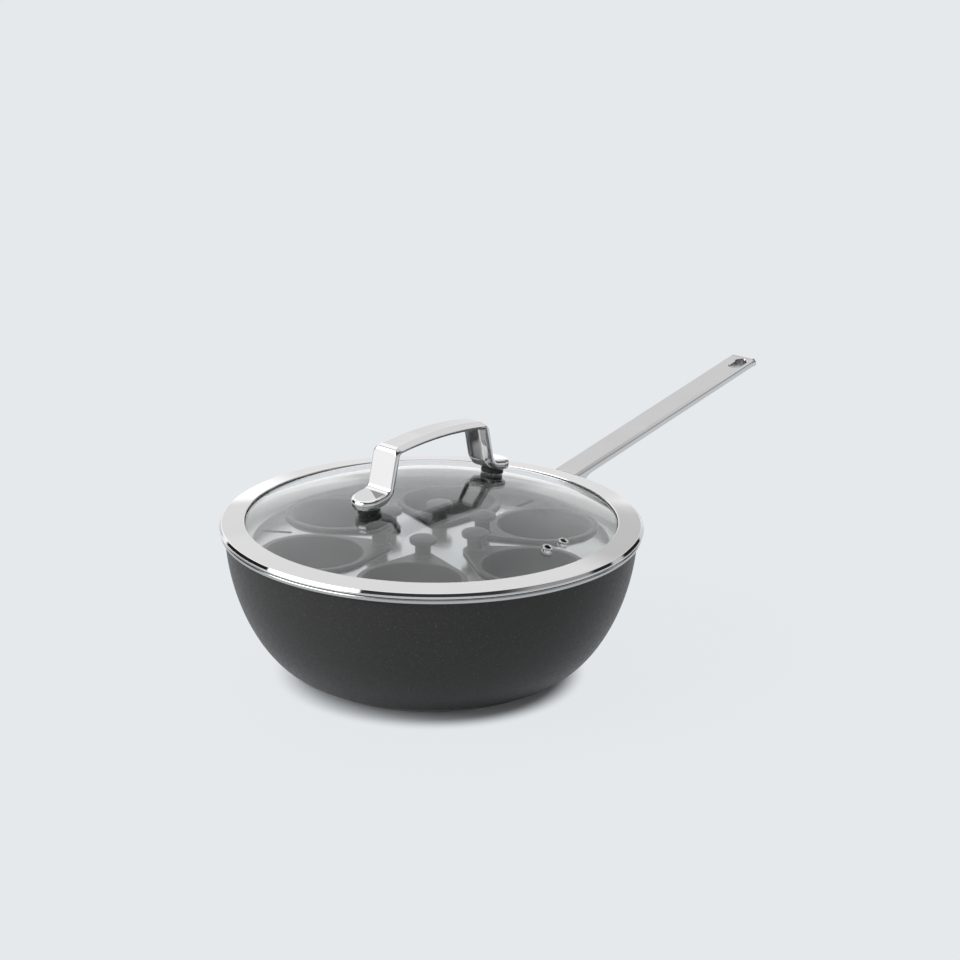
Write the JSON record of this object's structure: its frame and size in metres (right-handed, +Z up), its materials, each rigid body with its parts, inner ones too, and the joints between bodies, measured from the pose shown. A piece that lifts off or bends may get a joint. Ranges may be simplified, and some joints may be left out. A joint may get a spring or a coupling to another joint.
{
  "type": "egg poacher pan with lid",
  "caption": "Deep round non-stick pan with a long steel handle, a lift-out steel tray of moulded egg cups and a domed glass lid with a steel band and bridge handle.",
  "frame": {"origin": "centre of the base disc's underside, where the pan stands", "axes": "+Z up along the bowl's axis, +X outwards along the pan handle"},
  "size_m": [0.4777, 0.2678, 0.157],
  "materials": {
    "bowl_coating": "aluminium with a matte dark grey speckled non-stick coat, bare bright metal on the lip",
    "base_steel": "turned steel disc, satin",
    "handle_steel": "brushed flat top, polished sides",
    "fastener_steel": "satin",
    "tray_steel": "pressed sheet, soft satin",
    "cup_moulding": "moulded, near black, satin",
    "lid_glass": "clear toughened glass",
    "polished_steel": "mirror-polished steel",
    "gasket_rubber": "matte black"
  },
  "bodies": {
    "pan": {"pan_bowl": "bowl_coating", "base_disc": "base_steel", "pan_handle": "handle_steel", "handle_rivet_1": "fastener_steel", "handle_rivet_2": "fastener_steel"},
    "tray": {"egg_tray": "tray_steel"},
    "cup_1": {"egg_cup_1": "cup_moulding"},
    "cup_2": {"egg_cup_2": "cup_moulding"},
    "cup_3": {"egg_cup_3": "cup_moulding"},
    "cup_4": {"egg_cup_4": "cup_moulding"},
    "cup_5": {"egg_cup_5": "cup_moulding"},
    "cup_6": {"egg_cup_6": "cup_moulding"},
    "lid": {"lid_glass": "lid_glass", "lid_rim": "polished_steel", "lid_handle": "polished_steel", "lid_handle_gasket_1": "gasket_rubber", "lid_handle_gasket_2": "gasket_rubber", "lid_handle_washer_1": "gasket_rubber", "lid_handle_washer_2": "gasket_rubber", "lid_handle_screw_1": "fastener_steel", "lid_handle_screw_2": "fastener_steel", "vent_eyelet_1": "fastener_steel", "vent_eyelet_2": "fastener_steel"}
  },
  "joints": [
    {"name": "tray_lift", "type": "slide", "parent": "pan", "child": "tray", "axis": [0, 0, 1], "range_m": [0, 0.15]},
    {"name": "cup_1_lift", "type": "slide", "parent": "tray", "child": "cup_1", "axis": [0, 0, 1], "range_m": [0, 0.1]},
    {"name": "cup_2_lift", "type": "slide", "parent": "tray", "child": "cup_2", "axis": [0, 0, 1], "range_m": [0, 0.1]},
    {"name": "cup_3_lift", "type": "slide", "parent": "tray", "child": "cup_3", "axis": [0, 0, 1], "range_m": [0, 0.1]},
    {"name": "cup_4_lift", "type": "slide", "parent": "tray", "child": "cup_4", "axis": [0, 0, 1], "range_m": [0, 0.1]},
    {"name": "cup_5_lift", "type": "slide", "parent": "tray", "child": "cup_5", "axis": [0, 0, 1], "range_m": [0, 0.1]},
    {"name": "cup_6_lift", "type": "slide", "parent": "tray", "child": "cup_6", "axis": [0, 0, 1], "range_m": [0, 0.1]},
    {"name": "lid_lift", "type": "slide", "parent": "cup_1", "child": "lid", "axis": [0, 0, 1], "range_m": [0, 0.15]}
  ],
  "couplings": [
    {"joint": "cup_2_lift", "follows": "cup_1_lift", "ratio": 1},
    {"joint": "cup_3_lift", "follows": "cup_1_lift", "ratio": 1},
    {"joint": "cup_4_lift", "follows": "cup_1_lift", "ratio": 1},
    {"joint": "cup_5_lift", "follows": "cup_1_lift", "ratio": 1},
    {"joint": "cup_6_lift", "follows": "cup_1_lift", "ratio": 1}
  ]
}
